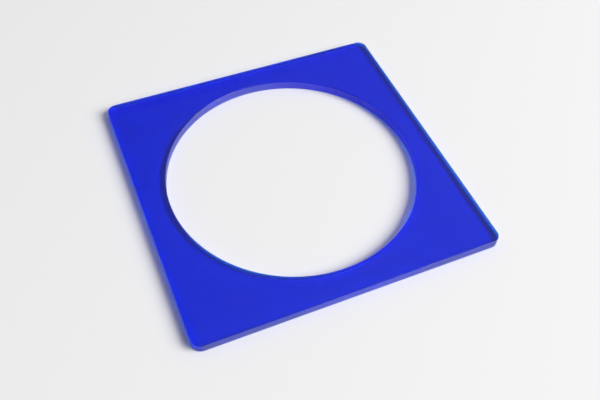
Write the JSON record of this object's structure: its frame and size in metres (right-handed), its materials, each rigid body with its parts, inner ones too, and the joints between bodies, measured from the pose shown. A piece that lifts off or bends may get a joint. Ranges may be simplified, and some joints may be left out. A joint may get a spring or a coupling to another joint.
{
  "type": "circle template",
  "caption": "Flat square plate of blue tinted acrylic sheet with softly rounded corners and a large round opening, used as a guide for drawing or cutting a circle.",
  "frame": {"origin": "on the underside, at the centre of the round opening", "axes": "+Z through the sheet's thickness and along the opening's axis, out of the top face; +X and +Y parallel to the plate's sides"},
  "size_m": [0.1, 0.1, 0.0032],
  "materials": {
    "blue_acrylic": "gloss"
  },
  "bodies": {
    "root": {"template_plate": "blue_acrylic"}
  },
  "joints": []
}
